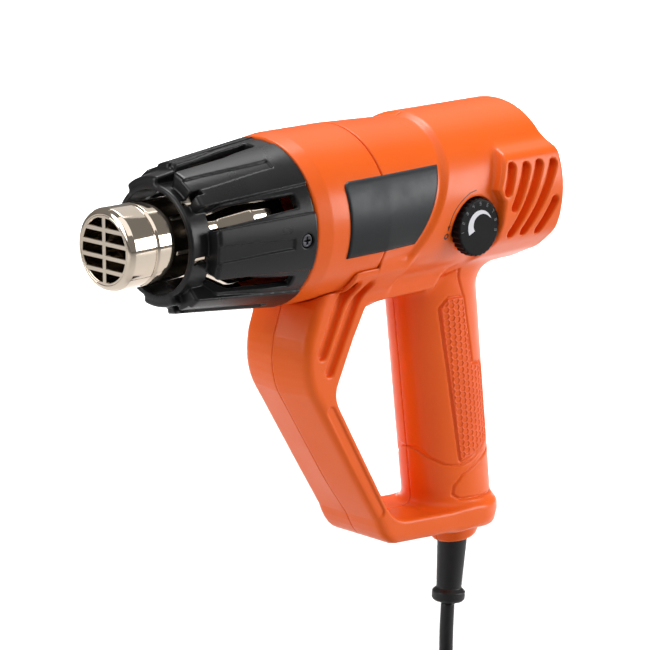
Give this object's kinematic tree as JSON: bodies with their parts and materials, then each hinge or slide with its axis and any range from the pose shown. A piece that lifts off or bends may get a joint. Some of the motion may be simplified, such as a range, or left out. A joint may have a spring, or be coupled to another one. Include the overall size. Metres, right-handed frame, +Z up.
{
  "type": "heat gun",
  "caption": "Pistol-shaped hot air gun with a ribbed nose guard, closed hand guard, heat dial, slide switch and coiled mains lead.",
  "frame": {"origin": "centre of the hand grip, on the gun's middle plane", "axes": "-X points the way the hot air leaves, along the barrel, +Z is up and square to the barrel, and the dial is on the -Y side"},
  "size_m": [0.235, 0.1767, 0.3175],
  "materials": {
    "housing": "smooth satin-gloss orange moulding",
    "grip_pad": "soft orange overlay with a fine honeycomb texture",
    "intake_screen": "orange mesh behind the vent slots",
    "nose_guard": "satin charcoal black heat-proof moulding",
    "black_plastic": "satin black",
    "dial_knob": "satin black with white print",
    "label_plate": "satin dark grey, lighter towards the top",
    "nozzle": "polished, slightly warm",
    "screws": "zinc-plated steel",
    "inner_steel": "bright steel",
    "brass": "plain",
    "heater_core": "unglazed",
    "mica": "rolled mica sheet",
    "white_plastic": "moulded, off-white",
    "circuit_board": "green board",
    "cord_rubber": "matt black"
  },
  "bodies": {
    "gun": {"housing_left": "housing", "housing_right": "housing", "housing_screw_1": "screws", "housing_screw_2": "screws", "housing_screw_3": "screws", "housing_screw_4": "screws", "housing_screw_5": "screws", "housing_screw_6": "screws", "front_collar": "housing", "nose_guard": "nose_guard", "guard_screw_1": "screws", "guard_screw_2": "screws", "nozzle_tube": "nozzle", "nozzle_grille": "nozzle", "heater_core": "heater_core", "heater_wire": "inner_steel", "heater_sleeve": "mica", "heater_flange": "inner_steel", "thermal_cutout": "white_plastic", "motor": "inner_steel", "motor_mount": "white_plastic", "air_duct": "black_plastic", "potentiometer": "inner_steel", "control_board": "circuit_board", "intake_screen_left": "intake_screen", "intake_screen_right": "intake_screen", "switch_body": "black_plastic", "grip_pad_left": "grip_pad", "grip_pad_right": "grip_pad", "label_plate_left": "label_plate", "label_plate_right": "label_plate", "strain_relief": "cord_rubber", "cord_clamp": "white_plastic", "mains_lead": "cord_rubber", "power_cord": "cord_rubber", "cord_coil": "cord_rubber", "cord_tie": "black_plastic", "cord_tail": "cord_rubber", "plug_body": "cord_rubber", "plug_pin_1": "brass", "plug_pin_2": "brass"},
    "rotor": {"fan_impeller": "black_plastic", "motor_shaft": "inner_steel"},
    "dial": {"dial_knob": "dial_knob", "dial_shaft": "brass"},
    "switch": {"switch_slider": "black_plastic"}
  },
  "joints": [
    {"name": "fan_spin", "type": "hinge", "parent": "gun", "child": "rotor", "pos_m": [-0.041, 0, 0.095], "axis": [1, 0, 0], "continuous": true},
    {"name": "dial_turn", "type": "hinge", "parent": "gun", "child": "dial", "pos_m": [-0.016, -0.037, 0.0842], "axis": [0, -1, 0], "range_deg": [-270, 0]},
    {"name": "switch_slide", "type": "slide", "parent": "gun", "child": "switch", "axis": [-0.1175, 0, 0.9931], "range_m": [0, 0.008]}
  ]
}
